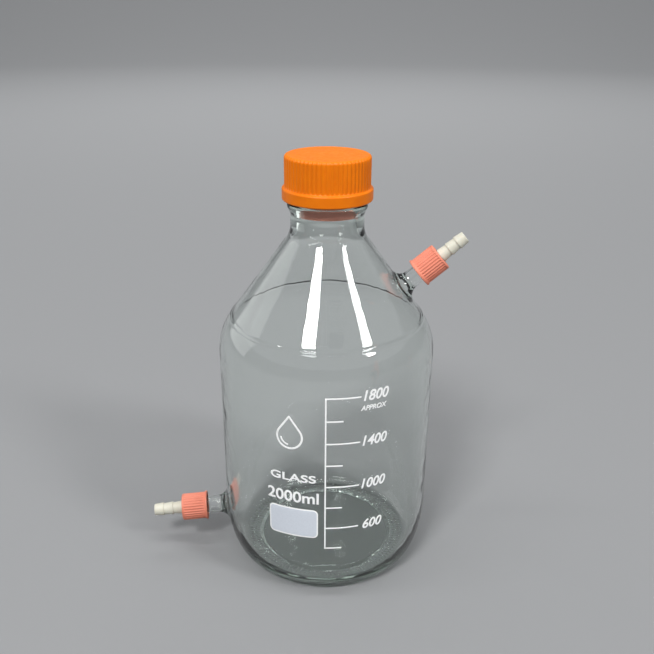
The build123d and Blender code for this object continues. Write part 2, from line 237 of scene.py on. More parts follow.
# Stipple: rings of short slanted dashes that stand down from the base, and carry the bottle.
# They lean one way in one ring and the other way in the next
fine_angles = np.radians(-90) + 2 * pi * np.arange(columns * fine_split) / (columns * fine_split)
across = (stipple_line[:, :1] - stipple["inner"]) / (stipple["outer"] - stipple["inner"])
row = np.minimum(np.floor(across * stipple["rows"]), stipple["rows"] - 1)
in_row = across * stipple["rows"] - row
slanted = stipple["slant"] * (1 - 2 * (row % 2)) * in_row
dash_turn = fine_angles * stipple["dashes"] / (2 * pi) + slanted + 0.5 * row
from_dash = np.abs(dash_turn - np.round(dash_turn))
dash = smooth((dash_width - from_dash) / dash_edge) * smooth(1.7 * np.sin(pi * np.clip(in_row, 0, 1)))

blocks = [
    about(upright, dome[:, :1], angles, dome[:, 1:]),
    about(upright, stipple_line[:, :1], fine_angles, base - base * dash),
    about(upright, outside_radius, angles, outside[:, 1:]),
    about(upright, inside[::-1, :1], angles, inside[::-1, 1:]),
    about(upright, floor_line[:, :1], angles, floor_line[:, 1:]),
    np.array([[[0, 0, base + push_up]]]),
    np.array([[[0, 0, base_thickness + push_up]]]),
]
firsts = np.cumsum([0] + [block[..., 0].size for block in blocks])
grids = [first + numbered(block) for first, block in zip(firsts, blocks)]
dome_grid, stipple_grid, outside_grid, inside_grid, floor_grid, base_pole, floor_pole = grids

# Ports: each is a surface round its own axis. Far from the axis it is the wall itself; nearer,
# a quarter of an ellipse lifts it off the wall until it runs along the axis as a tube.
port_stem = 0.0057
port_bore = 0.0045
port_rim = 0.0109
port_edge = 0.0006
flare = (0.0066, 0.0068)
funnel = (0.0030, 0.0030)
port_thread = {"pitch": 0.0025, "turns": 3.0, "half_width": 0.0008, "relief": 0.0012}
port_thread_start = 0.002
port_windows = {"upper": (18, 16), "lower": (14, 18)}
cap_pivot = 0.008
nearest_wall, farthest_wall, halvings = 0.03, 0.10, 36


def port_axis(name):
    """The axis of a port, from the bottle's centre line out, and how far out its cap begins."""
    hinge = next(joint for joint in frame["joints"] if joint["name"] == f"{name}_cap_turn")
    pivot, outward = np.array(hinge["pos_m"]), np.array(hinge["axis"])
    reach = np.hypot(*pivot[:2]) / np.hypot(*outward[:2])
    across = np.cross([0, 0, 1], outward)
    across /= np.linalg.norm(across)
    return (pivot - reach * outward, across, np.cross(outward, across), outward), reach - cap_pivot


def wall_distance(axis, radius, angle, outline):
    """How far along a port's axis the turned wall lies, found by halving an interval."""
    rising = np.argsort(outline[:, 1])
    near, far = np.full(np.shape(radius), nearest_wall), np.full(np.shape(radius), farthest_wall)
    for _ in range(halvings):
        middle = (near + far) / 2
        point = about(axis, radius, angle, middle)
        wall_radius = np.interp(point[..., 2], outline[rising, 1], outline[rising, 0])
        beyond = np.hypot(point[..., 0], point[..., 1]) > wall_radius
        near, far = np.where(beyond, near, middle), np.where(beyond, middle, far)
    return middle


def window(grid, points, axis, outline, spans):
    """Cuts a port's opening in a wall's grid.

    Returns a mask of the cells that stay, and the loop of points round the opening, which runs
    anticlockwise as seen from outside the bottle.
    """
    centre = about(axis, 0, 0, wall_distance(axis, np.zeros(1), 0, outline))[0]
    turn = np.degrees(np.arctan2(centre[1], centre[0])) + 90
    column = round(turn / (360 / columns)) - spans[0] // 2
    row = np.abs(points[:, 0, 2] - centre[2]).argmin() - spans[1] // 2
    keep = np.ones((len(grid) - 1, columns), bool)
    keep[row : row + spans[1], column : column + spans[0]] = False
    patch = grid[row : row + spans[1] + 1, column : column + spans[0] + 1]
    if points[row, 0, 2] > points[row + 1, 0, 2]:
        patch = patch[::-1]
    return keep, np.concatenate([patch[0, :-1], patch[:-1, -1], patch[-1, :0:-1], patch[:0:-1, 0]])


outside_keep = np.ones((len(outside_grid) - 1, columns), bool)
inside_keep = np.ones((len(inside_grid) - 1, columns), bool)
wall_points = np.vstack([block.reshape(-1, 3) for block in blocks])
glass_points = [wall_points]
glass_faces = []

for port, spans in port_windows.items():
    axis, cap_start = port_axis(port)
    keep, outer_loop = window(outside_grid, blocks[2], axis, outside, spans)
    outside_keep &= keep
    keep, inner_loop = window(inside_grid, blocks[3], axis, inside, spans)
    inside_keep &= keep
    loops = []
    for loop in (outer_loop, inner_loop):
        offset = wall_points[loop] - axis[0]
        sideways, upwards = offset @ axis[1], offset @ axis[2]
        loops.append((np.hypot(sideways, upwards), np.unwrap(np.arctan2(upwards, sideways))))
    (outer_away, outer_turn), (inner_away, inner_turn) = loops
    count = len(outer_loop)
    even = 2 * pi * np.arange(count) / count
    even += (outer_turn - even).mean()

    # Wall round the flare, then the flare
    share = np.array([0.3, 0.6, 0.85, 1.0])[:, None]
    skirt_radius = outer_away * (1 - share) + (port_stem + flare[0]) * share
    skirt_turn = outer_turn * (1 - share) + even * share
    lean = np.radians(np.linspace(0, 90, 13)[1:, None])
    flare_radius = port_stem + flare[0] * (1 - np.sin(lean)) + 0 * even
    flare_rise = flare[1] * (1 - np.cos(lean))

    # Threaded stem, rounded rim and bore
    rim = cap_start + port_rim
    flare_top = wall_distance(axis, flare_radius[-1], even, outside).max() + flare[1]
    stem = np.linspace(flare_top + 0.0004, rim - port_edge, 44)[:, None]
    thread = helix_ridge(even % (2 * pi), stem, cap_start + port_thread_start, **port_thread)
    edge = chain(
        arc((port_stem - port_edge, rim - port_edge), (port_edge, port_edge), 20, 90, 4),
        arc((port_bore + port_edge, rim - port_edge), (port_edge, port_edge), 90, 180, 4),
    )

    # Bore down to the wall, the funnel where it opens inside, and the wall round the funnel
    bore_foot = wall_distance(axis, port_bore + 0 * even, even, inside) + funnel[1]
    down = np.linspace(0, 1, 9)[1:, None]
    widen = np.radians(np.linspace(90, 0, 7)[1:, None])
    funnel_radius = port_bore + funnel[0] * (1 - np.sin(widen)) + 0 * even
    funnel_rise = funnel[1] * (1 - np.cos(widen))
    back = np.array([0.35, 0.7])[:, None]
    ring_radius = (port_bore + funnel[0]) * (1 - back) + inner_away * back
    ring_turn = even * (1 - back) + inner_turn * back
    rings = [
        (skirt_radius, skirt_turn, wall_distance(axis, skirt_radius, skirt_turn, outside)),
        (flare_radius, even, wall_distance(axis, flare_radius, even, outside) + flare_rise),
        (port_stem + thread, even, stem),
        (edge[:, :1], even, edge[:, 1:]),
        (port_bore, even, (rim - port_edge) * (1 - down) + bore_foot * down),
        (funnel_radius, even, wall_distance(axis, funnel_radius, even, inside) + funnel_rise),
        (ring_radius, ring_turn, wall_distance(axis, ring_radius, ring_turn, inside)),
    ]
    port_points = np.vstack([about(axis, *ring) for ring in rings])
    first = sum(len(points) for points in glass_points)
    port_grid = first + numbered(port_points)
    glass_points.append(port_points.reshape(-1, 3))
    glass_faces.append(ring_faces(np.vstack([outer_loop, port_grid, inner_loop])))

glass_faces += [fan_faces(base_pole[0, 0], dome_grid[0], False), ring_faces(dome_grid)]
glass_faces += split_faces(dome_grid[-1], stipple_grid[0]) + [ring_faces(stipple_grid)]
glass_faces += split_faces(stipple_grid[-1], outside_grid[0])
glass_faces.append(ring_faces(outside_grid)[outside_keep.ravel()])
glass_faces.append(ring_faces(np.vstack([outside_grid[-1], inside_grid[0]])))
glass_faces.append(ring_faces(inside_grid)[inside_keep.ravel()])
glass_faces.append(ring_faces(np.vstack([inside_grid[-1], floor_grid])))
glass_faces.append(fan_faces(floor_pole[0, 0], floor_grid[-1], True))


def new_material(name):
    """A new node material: itself, its nodes, its links, its shader and Object coordinates."""
    material = bpy.data.materials.new(name)
    material.use_nodes = True
    nodes, links = material.node_tree.nodes, material.node_tree.links
    return material, nodes, links, nodes["Principled BSDF"], nodes.new("ShaderNodeTexCoord")


def noise(nodes, links, place, scale, detail):
    """A noise texture on Object coordinates; scale is in waves a metre."""
    texture = nodes.new("ShaderNodeTexNoise")
    texture.inputs["Scale"].default_value = scale
    texture.inputs["Detail"].default_value = detail
    links.new(place.outputs["Object"], texture.inputs["Vector"])
    return texture


def spread(nodes, links, source, socket, low, high):
    """Drives a socket from a texture's middle range, from low to high."""
    spans = nodes.new("ShaderNodeMapRange")
    spans.inputs["From Min"].default_value = 0.3
    spans.inputs["From Max"].default_value = 0.7
    spans.inputs["To Min"].default_value = low
    spans.inputs["To Max"].default_value = high
    links.new(source.outputs["Fac"], spans.inputs["Value"])
    links.new(spans.outputs["Result"], socket)


def bumped(nodes, links, shader, sources, distance):
    """Bump of one or more textures, one after another, each with its own strength."""
    previous = None
    for source, strength in sources:
        bump = nodes.new("ShaderNodeBump")
        bump.inputs["Strength"].default_value = strength
        bump.inputs["Distance"].default_value = distance
        links.new(source.outputs["Fac"], bump.inputs["Height"])
        if previous:
            links.new(previous.outputs["Normal"], bump.inputs["Normal"])
        previous = bump
    links.new(previous.outputs["Normal"], shader.inputs["Normal"])


clear_glass, nodes, links, shader, place = new_material("clear_borosilicate")
shader.inputs["Base Color"].default_value = (0.99, 1.0, 0.995, 1)
shader.inputs["Transmission Weight"].default_value = 1.0
shader.inputs["IOR"].default_value = 1.474
spread(nodes, links, noise(nodes, links, place, 30, 3), shader.inputs["Roughness"], 0.0, 0.015)
slow, quick = noise(nodes, links, place, 26, 1), noise(nodes, links, place, 95, 1)
bumped(nodes, links, shader, [(slow, 0.10), (quick, 0.045)], 0.002)
green_cast = nodes.new("ShaderNodeVolumeAbsorption")
green_cast.inputs["Color"].default_value = (0.45, 0.9, 0.62, 1)
green_cast.inputs["Density"].default_value = 12.0
links.new(green_cast.outputs["Volume"], nodes["Material Output"].inputs["Volume"])

bottle = mesh_piece("blown_glass_bottle", np.vstack(glass_points), glass_faces, clear_glass)
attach(bottle, "bottle")
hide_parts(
    "glass_base", "glass_wall", "glass_shoulder", "glass_neck", "upper_port_tube", "lower_port_tube"
)

# ---------------------------------------------------------------------------------------
# Enamel: white marks screen-printed on the wall and fired into it. A scale with a mark every
# 200 ml and its numbers, the capacity, a droplet, and a matt panel that takes a pencil.
# ---------------------------------------------------------------------------------------

enamel_thickness = 0.00011
enamel_sink = 0.00003
enamel_step = 0.0012
line_width = 0.0009
scale_foot = 0.0101
litre_height = 0.001 / (pi * (body_radius - wall) ** 2)
long_mark, short_mark = radians(17.2) * body_radius, radians(8.6) * body_radius
number_tall, number_angle, number_slant = 0.0068, 25.2, 0.22
four_digits_wide, three_digits_wide = 0.0161, 0.0131
# Line sections and patch sections as (share of the half width, lift): lift is 1 at the enamel's
# face and -1 at its underside, which is sunk in the wall
line_section = np.array([(1, -1), (1, 0.6), (0.7, 1), (-0.7, 1), (-1, 0.6), (-1, -1)])
patch_section = np.array(
    [(share, -1) for share in (0.2, 0.4, 0.6, 0.8, 1)]
    + [(1, 0.7), (0.98, 1)]
    + [(share, 1) for share in (0.8, 0.6, 0.4, 0.2)]
)


def wrapped(drawing, lift, azimuth, height):
    """A flat drawing laid round the wall at an angle from -Y, in degrees.

    The drawing's first axis becomes an angle, by the wall's radius, and its second runs up. A lift
    above 0 counts in thicknesses of enamel and one below 0 in depths of its underside.
    """
    turn = radians(azimuth) + drawing[..., 0] / body_radius
    radius = body_radius + np.where(lift < 0, enamel_sink, enamel_thickness) * lift
    return np.stack([radius * np.sin(turn), -radius * np.cos(turn), height + drawing[..., 1]], -1)


def divided(outline, step):
    """An outline with points added along its straight runs, no further apart than step."""
    run = np.hypot(*np.diff(outline, axis=0).T)
    count = np.maximum(1, np.ceil(run / step)).astype(int)
    start = np.repeat(np.arange(len(run)), count)
    share = (np.arange(len(start)) - np.repeat(np.cumsum(count) - count, count)) / np.repeat(count, count)
    points = outline[start] * (1 - share[:, None]) + outline[start + 1] * share[:, None]
    return np.vstack([points, outline[-1:]])


def printed_line(path, width, azimuth, height, closed=False):
    """A line of enamel: the section carried along a path, with its sides along the path's normal."""
    path = divided(np.array(path, float), enamel_step)
    if closed:
        path = path[:-1]
        tangent = np.roll(path, -1, 0) - np.roll(path, 1, 0)
    else:
        tangent = np.gradient(path, axis=0)
    tangent /= np.hypot(*tangent.T)[:, None]
    normal = np.column_stack([-tangent[:, 1], tangent[:, 0]])
    flat = path[:, None] + normal[:, None] * line_section[None, :, :1] * width / 2
    points = wrapped(flat, line_section[None, :, 1], azimuth, height)
    grid = numbered(points)
    if closed:
        return points.reshape(-1, 3), [ring_faces(np.vstack([grid, grid[:1]]))]
    return points.reshape(-1, 3), [ring_faces(grid), grid[:1, ::-1], grid[-1:]]


def printed_patch(outline, azimuth, height):
    """A filled shape: its outline, anticlockwise, shrunk towards the middle by shares of the section."""
    outline = divided(np.array(outline, float), enamel_step)[:-1]
    flat = outline[None] * patch_section[:, None, :1]
    points = wrapped(flat, patch_section[:, None, 1] + 0 * flat[..., 0], azimuth, height)
    grid = numbered(points)
    middle = wrapped(np.zeros((2, 2)), np.array([-1, 1]), azimuth, height)
    poles = grid.size, grid.size + 1
    faces = [fan_faces(poles[0], grid[0], False), ring_faces(grid), fan_faces(poles[1], grid[-1], True)]
    return np.vstack([points.reshape(-1, 3), middle]), faces


def gathered(parts):
    """Several (points, faces) parts as one: each part's face numbers follow on from the last."""
    firsts = np.cumsum([0] + [len(points) for points, _ in parts])
    faces = [block + first for first, (_, blocks) in zip(firsts, parts) for block in blocks]
    return np.vstack([points for points, _ in parts]), faces


def printed_words(name, rows, material):
    """Rows of lettering as one piece. A row is (words, width, height, slant, azimuth, height up)."""
    sheet = bmesh.new()
    for words, wide, tall, slant, azimuth, height in rows:
        letters = bpy.data.curves.new(name, "FONT")
        letters.body = words
        letters.shear = slant
        letters.offset = 0.018
        letters.extrude = 0.5
        drawn = bpy.data.objects.new(name, letters)
        flat = bpy.data.meshes.new_from_object(drawn)
        points = np.empty(len(flat.vertices) * 3)
        flat.vertices.foreach_get("co", points)
        points = points.reshape(-1, 3)
        low, high = points.min(0)[:2], points.max(0)[:2]
        drawing = (points[:, :2] - (low + high) / 2) / (high - low) * np.array([wide, tall])
        lift = np.where(points[:, 2] > 0, 1.0, -1.0)
        flat.vertices.foreach_set("co", wrapped(drawing, lift, azimuth, height).ravel())
        sheet.from_mesh(flat)
        bpy.data.objects.remove(drawn)
    bmesh.ops.remove_doubles(sheet, verts=sheet.verts, dist=1e-6)
    mesh = bpy.data.meshes.new(name)
    sheet.to_mesh(mesh)
    sheet.free()
    mesh.materials.append(material)
    piece = bpy.data.objects.new(name, mesh)
    bpy.context.scene.collection.objects.link(piece)
    return piece


def mottled(nodes, links, place, shader, colours, scale, most):
    """A base colour that drifts by noise from the first of two colours to the second.

    most is the greatest share that the second may have.
    """
    tint = nodes.new("ShaderNodeMix")
    tint.data_type = "RGBA"
    tint.inputs["A"].default_value = (*colours[0], 1)
    tint.inputs["B"].default_value = (*colours[1], 1)
    spread(nodes, links, noise(nodes, links, place, scale, 4), tint.inputs["Factor"], 0.0, most)
    links.new(tint.outputs["Result"], shader.inputs["Base Color"])


def uneven_gloss(nodes, links, place, shader, texture, low, high):
    """Roughness between low and high, by a noise of (scale, detail)."""
    spread(nodes, links, noise(nodes, links, place, *texture), shader.inputs["Roughness"], low, high)


def enamel_material(name, colour, worn, roughness):
    """Fired enamel: a colour that thins a little in specks, a faint orange peel and soft gloss."""
    material, nodes, links, shader, place = new_material(name)
    mottled(nodes, links, place, shader, (colour, worn), 900, 0.6)
    uneven_gloss(nodes, links, place, shader, (300, 2), roughness - 0.05, roughness + 0.08)
    bumped(nodes, links, shader, [(noise(nodes, links, place, 2500, 2), 0.25)], 0.00004)
    return material


white_enamel = enamel_material("white_enamel", (0.93, 0.93, 0.92), (0.80, 0.81, 0.82), 0.35)
panel_enamel = enamel_material("matt_panel_enamel", (0.60, 0.64, 0.70), (0.54, 0.575, 0.635), 0.6)

# Scale: an upright line, and marks to the right of it, long at every other one
volumes = np.arange(0.4, 1.81, 0.2)
levels = scale_foot + volumes * litre_height
upright_ends = [(0, levels[0] - line_width / 2), (0, levels[-1] + line_width / 2)]
parts = [printed_line(upright_ends, line_width, 0, 0)]
for number, level in enumerate(levels):
    reach = long_mark if number % 2 else short_mark
    parts.append(printed_line([(0, level), (reach, level)], line_width, 0, 0))
scale = mesh_piece("printed_scale", *gathered(parts), white_enamel)
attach(scale, "bottle")
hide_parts("graduation_scale")

# Numbers at the long marks, with a word under the highest to say that they are approximate
number_rows = []
for volume, level in zip(volumes[1::2], levels[1::2]):
    wide = four_digits_wide if volume >= 1 else three_digits_wide
    row_height = level + 0.0005
    number_rows.append((f"{1000 * volume:.0f}", wide, number_tall, number_slant, number_angle, row_height))
number_rows.append(("APPROX", 0.0165, 0.0032, number_slant, 24.0, levels[-1] - 0.0074))
numbers = printed_words("printed_numbers", number_rows, white_enamel)
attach(numbers, "bottle")
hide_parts("graduation_numbers")

# Capacity, with the word for the material over it
capacity_rows = [
    ("2000ml", 0.0325, 0.0078, 0.0, -16.9, 0.0757),
    ("GLASS", 0.0285, 0.0052, 0.0, -16.7, 0.0892),
]
capacity = printed_words("printed_capacity", capacity_rows, white_enamel)
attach(capacity, "bottle")
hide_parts("capacity_marking")

# Droplet: a circle whose top is drawn out to a point, with a highlight inside it
droplet_angle, droplet_height = -18.1, 0.1195
droplet_radius, droplet_tall, shine_radius = 0.0080, 0.0220, 0.0052
droplet_line, shine_line = 0.0012, 0.0010
tangent = np.degrees(np.arccos(droplet_radius / (droplet_tall - droplet_radius)))
bowl_centre = np.array([0, droplet_radius - droplet_tall / 2])
bowl = arc(bowl_centre, (droplet_radius, droplet_radius), 90 + tangent, 450 - tangent, 40)
tip = bowl_centre + (0, droplet_tall - droplet_radius)
droplet_outline = np.vstack([bowl, tip, bowl[:1]]) * (1 - line_width / droplet_tall)
shine = arc(bowl_centre, (shine_radius, shine_radius), 185, 262, 14)
parts = [
    printed_line(droplet_outline, droplet_line, droplet_angle, droplet_height, closed=True),
    printed_line(shine, shine_line, droplet_angle, droplet_height),
]
droplet = mesh_piece("printed_droplet", *gathered(parts), white_enamel)
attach(droplet, "bottle")
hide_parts("droplet_mark")

# Writing panel: a matt grey field inside a white line
panel_angle, panel_height = -16.7, 0.0572
panel_wide, panel_tall, panel_corner = 0.0312, 0.0204, 0.0032


def rounded_oblong(wide, tall, corner):
    """A closed rectangle with quarter-circle corners, anticlockwise, round its own middle."""
    x, y = wide / 2 - corner, tall / 2 - corner
    corners = [((x, -y), 270), ((x, y), 0), ((-x, y), 90), ((-x, -y), 180)]
    points = np.vstack([arc(centre, (corner, corner), first, first + 90, 9) for centre, first in corners])
    return np.vstack([points, points[:1]])


inset = line_width
border = printed_line(
    rounded_oblong(panel_wide - inset, panel_tall - inset, panel_corner - inset / 2),
    line_width, panel_angle, panel_height, closed=True,
)
field = printed_patch(
    rounded_oblong(panel_wide - 1.9 * inset, panel_tall - 1.9 * inset, panel_corner - 0.95 * inset),
    panel_angle, panel_height,
)
panel = mesh_piece("printed_panel", *gathered([border, field]), panel_enamel)
panel.data.materials.append(white_enamel)
on_border = np.arange(len(panel.data.polygons)) < sum(len(block) for block in border[1])
panel.data.polygons.foreach_set("material_index", on_border.astype(np.int32))
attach(panel, "bottle")
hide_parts("writing_panel")

# ---------------------------------------------------------------------------------------
# Pouring ring: a soft plastic lip that snaps over the rim of the neck, with a skirt that
# grips the bore. It is turned here from one closed outline.
# ---------------------------------------------------------------------------------------

ring_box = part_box("pouring_ring")
ring_radius, ring_top, ring_foot = ring_box[1].x, ring_box[1].z, ring_box[0].z
ring_bore = 0.0152
ring_gap = 0.0001


def rounded(corners, step):
    """A closed outline through corners of (radius, distance, rounding), divided at step.

    Each corner becomes an arc of its own rounding, tangent to the two sides that meet there: its
    centre lies on the corner's bisector, and it runs from one side's tangent point to the other's.
    """
    corners = np.array(corners, float)
    point, rounding = corners[:, :2], np.maximum(corners[:, 2:], 1e-7)
    before, after = np.roll(point, 1, 0) - point, np.roll(point, -1, 0) - point
    before /= np.hypot(*before.T)[:, None]
    after /= np.hypot(*after.T)[:, None]
    half = np.arccos(np.clip((before * after).sum(1, keepdims=True), -1, 1)) / 2
    bisector = (before + after) / np.hypot(*(before + after).T)[:, None]
    centre = point + bisector * rounding / np.sin(half)
    first = point + before * rounding / np.tan(half) - centre
    side = -(bisector + first / rounding * np.sin(half)) / np.cos(half)
    turn = (pi - 2 * half)[:, None] * np.linspace(0, 1, 6)[None, :, None]
    along = first[:, None] * np.cos(turn) + (side * rounding)[:, None] * np.sin(turn)
    arcs = centre[:, None] + along
    outline = arcs.reshape(-1, 2)
    return divided(chain(outline, outline[:1]), step)


def turned_ring(name, axis, outline, count, material, swell=None):
    """A closed outline of (radius, distance) turned about an axis.

    swell(angle, radius, distance) is added to the radius, for ribs and threads. The outline runs
    outwards along the foot, up the outside and back down the inside, so faces point outwards.
    """
    turn = 2 * pi * np.arange(count) / count
    outline = outline[:-1]
    radius = outline[:, :1] + (0 if swell is None else swell(turn, outline[:, :1], outline[:, 1:]))
    points = about(axis, radius, turn, outline[:, 1:])
    grid = numbered(points)
    return mesh_piece(name, points, [ring_faces(np.vstack([grid, grid[:1]]))], material)


def moulded_plastic(name, colour, shade, roughness, glow=0.0):
    """Injection-moulded plastic: slow flow shading, a fine satin grain and tiny scuffs."""
    material, nodes, links, shader, place = new_material(name)
    mottled(nodes, links, place, shader, (colour, shade), 120, 1.0)
    uneven_gloss(nodes, links, place, shader, (450, 3), roughness - 0.06, roughness + 0.09)
    shader.inputs["IOR"].default_value = 1.49
    shader.inputs["Specular IOR Level"].default_value = 0.22
    shader.inputs["Subsurface Weight"].default_value = glow
    shader.inputs["Subsurface Radius"].default_value = (0.003, 0.0015, 0.0008)
    shader.inputs["Subsurface Scale"].default_value = 0.5
    grain, swirl = noise(nodes, links, place, 2200, 2), noise(nodes, links, place, 160, 2)
    bumped(nodes, links, shader, [(grain, 0.12), (swirl, 0.10)], 0.0002)
    return material


ring_plastic = moulded_plastic("pouring_ring_plastic", (0.90, 0.34, 0.25), (0.84, 0.30, 0.21), 0.38)
ring_outline = rounded(
    [
        (ring_bore, ring_foot, 0.0004),
        (neck_bore - ring_gap, ring_foot, 0.0005),
        (neck_bore - ring_gap, rim_height + ring_gap, 0.0004),
        (ring_radius, rim_height + ring_gap, 0.0004),
        (ring_radius, ring_top - ring_gap, 0.0005),
        (ring_bore, ring_top - ring_gap, 0.0006),
    ],
    0.0008,
)
pouring_ring = turned_ring("pouring_lip_ring", upright, ring_outline, 160, ring_plastic)
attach(pouring_ring, "bottle")
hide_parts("pouring_ring")

# ---------------------------------------------------------------------------------------
# Main screw cap: orange polypropylene moulded in one shot, with sixty shallow grip ribs that
# run over its rounded top edge, a plain band round its foot and the neck's thread inside.
# ---------------------------------------------------------------------------------------

cap_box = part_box("screw_cap")
cap_foot, cap_top, band_radius = cap_box[0].z, cap_box[1].z, cap_box[1].x
band_height = 0.0074
grip_radius = 0.0256
grip_edge = 0.0021
cap_bore = 0.0229
cap_ribs, rib_depth = 60, 0.0005
bore_lip, band_lip, band_edge, grip_fillet = 0.0008, 0.0010, 0.0011, 0.0005
cap_pole = 0.0004
liner_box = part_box("cap_liner")
cap_ceiling = liner_box[1].z
cap_thread = {"start": 0.246, "pitch": 0.004, "turns": 2.5, "half_width": 0.0010, "relief": 0.0012}
ring_mark_radius, ring_mark_width, ring_mark_relief = 0.0190, 0.0004, 0.000108
top_dish = 0.00012


def cap_swell(turn, radius, height):
    """Ribs on the grip, the thread in the bore: a rib's groove is a rounded cosine valley.

    The grooves fade out over the band's shoulder, and over the flat of the top.
    """
    groove = smooth(0.5 - 0.5 * np.cos(cap_ribs * turn) * 1.15 - 0.12)
    over_band = smooth((height - cap_foot - band_height - 0.0001) / 0.0012)
    on_grip = smooth((radius - grip_radius + grip_edge) / (grip_edge * 0.7))
    ribs = -rib_depth * groove * over_band * on_grip
    in_bore = np.abs(radius - cap_bore) < 0.0002
    return ribs - helix_ridge(turn, height, **cap_thread) * in_bore * (height < cap_ceiling - 0.001)


# The outline of half the cap, from the middle of its ceiling down the bore, round the foot,
# up the outside and over the top. The ring on the top is the mark of the mould's insert
ceiling_line = line((cap_pole, cap_ceiling), (cap_bore, cap_ceiling), 10)
bore_line = line((cap_bore, cap_ceiling - 0.0004), (cap_bore, cap_foot + bore_lip), 66)
foot_line = chain(
    arc((cap_bore + bore_lip, cap_foot + bore_lip), (bore_lip, bore_lip), 180, 270, 6),
    arc((band_radius - band_lip, cap_foot + band_lip), (band_lip, band_lip), 270, 360, 8),
)
band_top = cap_foot + band_height
band_line = chain(
    line((band_radius, cap_foot + 0.0012), (band_radius, band_top - 0.0012), 9),
    arc((band_radius - band_edge, band_top - band_edge), (band_edge, band_edge), 0, 82, 8),
    arc((grip_radius + grip_fillet, band_top + grip_fillet), (grip_fillet, grip_fillet), 265, 180, 6),
)
grip_line = line((grip_radius, band_top + 0.0006), (grip_radius, cap_top - grip_edge), 26)
edge_line = arc((grip_radius - grip_edge, cap_top - grip_edge), (grip_edge, grip_edge), 0, 90, 14)
top_radius = np.linspace(grip_radius - grip_edge - 0.0003, cap_pole, 52)
ring_mark = ring_mark_relief * np.exp(-(((top_radius - ring_mark_radius) / ring_mark_width) ** 2))
dish = top_dish * smooth((grip_radius - grip_edge - top_radius) / 0.002)
top_line = np.column_stack([top_radius, cap_top - dish + ring_mark])
cap_outline = chain(ceiling_line, bore_line, foot_line, band_line, grip_line, edge_line, top_line)

turn = 2 * pi * np.arange(cap_ribs * 7) / (cap_ribs * 7)
cap_radius = cap_outline[:, :1] + cap_swell(turn, cap_outline[:, :1], cap_outline[:, 1:])
cap_points = about(upright, cap_radius, turn, cap_outline[:, 1:])
cap_grid = numbered(cap_points)
cap_middles = np.array([[0, 0, cap_ceiling], [0, 0, cap_outline[-1, 1]]])
cap_faces = [
    fan_faces(cap_grid.size, cap_grid[0], False),
    ring_faces(cap_grid),
    fan_faces(cap_grid.size + 1, cap_grid[-1], True),
]
cap_points = np.vstack([cap_points.reshape(-1, 3), cap_middles])
orange_plastic = moulded_plastic("orange_cap_plastic", (0.72, 0.168, 0.0), (0.67, 0.148, 0.0), 0.40, 0.04)
cap = mesh_piece("ribbed_screw_cap", cap_points, cap_faces, orange_plastic)
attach(cap, "main_cap")
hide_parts("screw_cap")

# ---------------------------------------------------------------------------------------
# Seals: the cap's liner is a silicone disc with a PTFE film on the side that meets the glass,
# and each port has a small washer of the same make. They keep their plain punched shapes.
# ---------------------------------------------------------------------------------------


def seal_material(name, colour, mottle, roughness, grain):
    """Punched sheet: an even colour with faint mottling and the grain of the rollers."""
    material, nodes, links, shader, place = new_material(name)
    mottled(nodes, links, place, shader, (colour, mottle), 260, 1.0)
    uneven_gloss(nodes, links, place, shader, (700, 2), roughness - 0.05, roughness + 0.05)
    bumped(nodes, links, shader, [(noise(nodes, links, place, 1800, 3), grain)], 0.0001)
    return material


silicone = seal_material("seal_silicone", (0.72, 0.70, 0.64), (0.66, 0.64, 0.58), 0.62, 0.30)
ptfe = seal_material("seal_ptfe_film", (0.82, 0.82, 0.79), (0.77, 0.77, 0.74), 0.30, 0.10)
for node, material in {
    "cap_liner": silicone,
    "cap_liner_face": ptfe,
    "upper_seal_ring": silicone,
    "upper_seal_face": ptfe,
    "lower_seal_ring": silicone,
    "lower_seal_face": ptfe,
}.items():
    mesh = frame["nodes"][node].data
    mesh.materials.clear()
    mesh.materials.append(material)

# ---------------------------------------------------------------------------------------
# Hose barbs: ivory polypropylene nipples, three cones long, with a flange that the port cap
# clamps on the washer. They are moulded round a core pin, which leaves the straight bore.
# ---------------------------------------------------------------------------------------

port_cap_length = 0.0171
port_ceiling = 0.0149
barb_length = 0.0190
barb_bore = 0.0026
barb_tip, barb_crest, barb_stem = 0.00375, 0.0043, 0.00405
barb_section, barb_land = 0.0063, 0.0007
barb_flange, flange_thickness = 0.0069, 0.0020

ivory, ivory_shade = (0.55, 0.535, 0.45), (0.50, 0.485, 0.405)
barb_plastic = moulded_plastic("ivory_barb_plastic", ivory, ivory_shade, 0.42, 0.05)
for port in port_windows:
    axis, cap_start = port_axis(port)
    tip = cap_start + port_cap_length + barb_length
    flange_top = cap_start + port_ceiling
    corners = [
        (barb_bore, flange_top - flange_thickness, 0.0002),
        (barb_flange, flange_top - flange_thickness, 0.0003),
        (barb_flange, flange_top, 0.0003),
        (barb_stem, flange_top, 0.0003),
    ]
    for cone in (3, 2, 1):
        foot = tip - cone * barb_section
        corners += [
            (barb_stem if cone == 3 else barb_tip, foot, 0.0001),
            (barb_crest, foot, 0.00012),
            (barb_crest, foot + barb_land, 0.0006),
        ]
    corners += [(barb_tip, tip, 0.0005), (barb_bore, tip, 0.0003)]
    barb = turned_ring(f"{port}_nipple", axis, rounded(corners, 0.0007), 96, barb_plastic)
    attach(barb, f"{port}_connector")
    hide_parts(f"{port}_hose_barb")

# ---------------------------------------------------------------------------------------
# Port caps: small salmon-coloured screw caps with thirty ribs, a thin flange at the open end
# and a hole in the closed end, through which the barb stands out.
# ---------------------------------------------------------------------------------------

